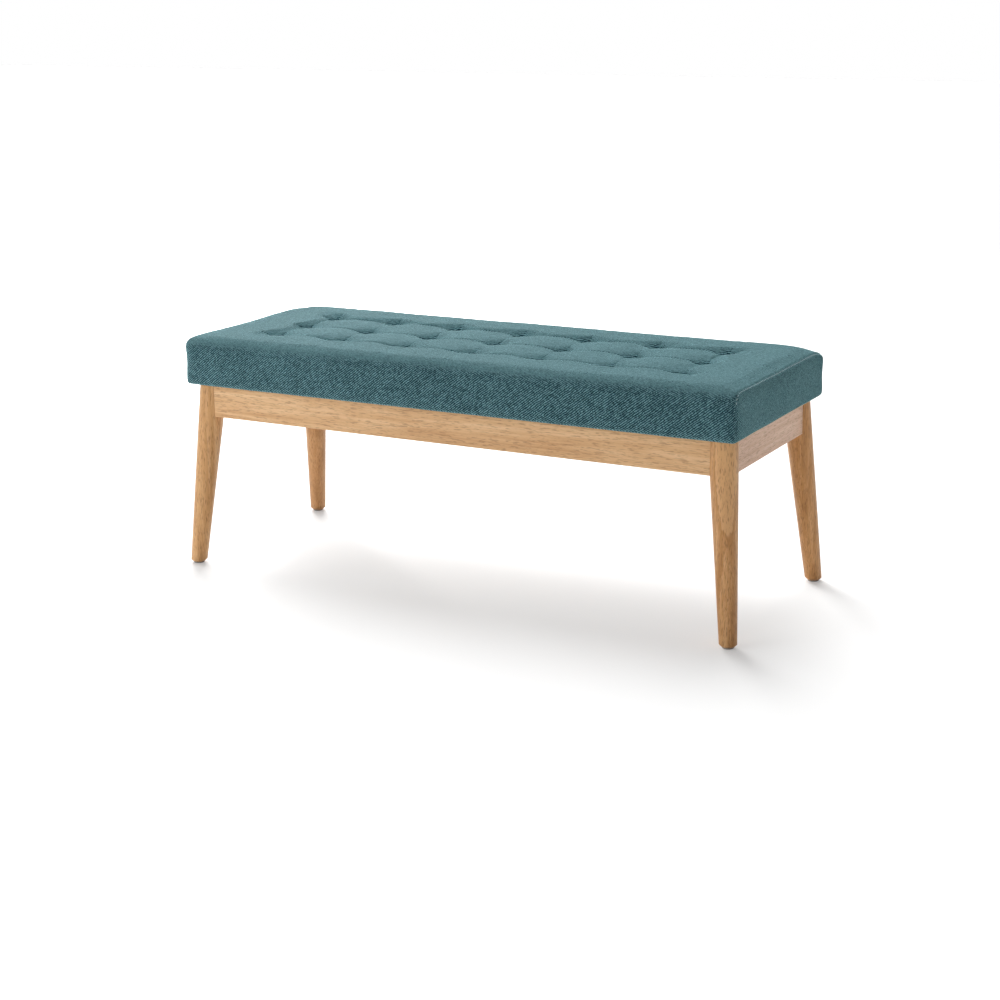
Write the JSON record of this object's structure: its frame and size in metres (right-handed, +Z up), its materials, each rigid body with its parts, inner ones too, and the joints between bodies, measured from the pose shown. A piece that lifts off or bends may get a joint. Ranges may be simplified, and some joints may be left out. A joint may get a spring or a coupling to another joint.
{
  "type": "upholstered bench",
  "caption": "Long, low upholstered bench: a thick cushion with rolled edges and blind tufts on a light wood frame with splayed, tapered round legs.",
  "frame": {"origin": "on the floor under the middle of the bench", "axes": "+X along the bench to its right end, -Y towards its front, +Z up"},
  "size_m": [1.105, 0.4318, 0.4318],
  "materials": {
    "leg_wood": "clear-lacquered light hardwood, grain along the leg",
    "rail_wood": "clear-lacquered light hardwood, grain along the rail",
    "inner_wood": "planed, unfinished wood",
    "dowel_wood": "fluted beech, unfinished",
    "plywood": "unfinished plywood",
    "cover_cloth": "coarse teal twill weave",
    "wadding": "polyester wadding",
    "foam": "polyurethane foam",
    "twine": "waxed upholstery twine, teal",
    "dust_cloth": "black non-woven cloth",
    "staple_wire": "galvanised wire",
    "zinc_steel": "zinc-plated",
    "screw_steel": "yellow zinc-plated",
    "nail_steel": "bright",
    "glide_plastic": "grey moulded plastic"
  },
  "bodies": {
    "root": {"centre_cross_rail": "inner_wood", "corner_block_front_left": "inner_wood", "corner_block_front_right": "inner_wood", "corner_block_rear_left": "inner_wood", "corner_block_rear_right": "inner_wood", "corner_block_screws": "screw_steel", "cover_end_left": "cover_cloth", "cover_end_right": "cover_cloth", "cover_main_panel": "cover_cloth", "cover_staples": "staple_wire", "cross_rail_dowels": "dowel_wood", "dust_cover": "dust_cloth", "dust_cover_staples": "staple_wire", "foam_pad": "foam", "foot_glide_front_left": "glide_plastic", "foot_glide_front_right": "glide_plastic", "foot_glide_rear_left": "glide_plastic", "foot_glide_rear_right": "glide_plastic", "front_rail": "rail_wood", "glide_nails": "nail_steel", "hanger_bolt_nuts": "zinc_steel", "hanger_bolt_washers": "zinc_steel", "hanger_bolts": "zinc_steel", "left_end_rail": "rail_wood", "leg_front_left": "leg_wood", "leg_front_right": "leg_wood", "leg_rear_left": "leg_wood", "leg_rear_right": "leg_wood", "rear_rail": "rail_wood", "right_end_rail": "rail_wood", "seat_board": "plywood", "seat_screws": "screw_steel", "tuft_ties": "twine", "wadding_wrap": "wadding"}
  },
  "joints": []
}
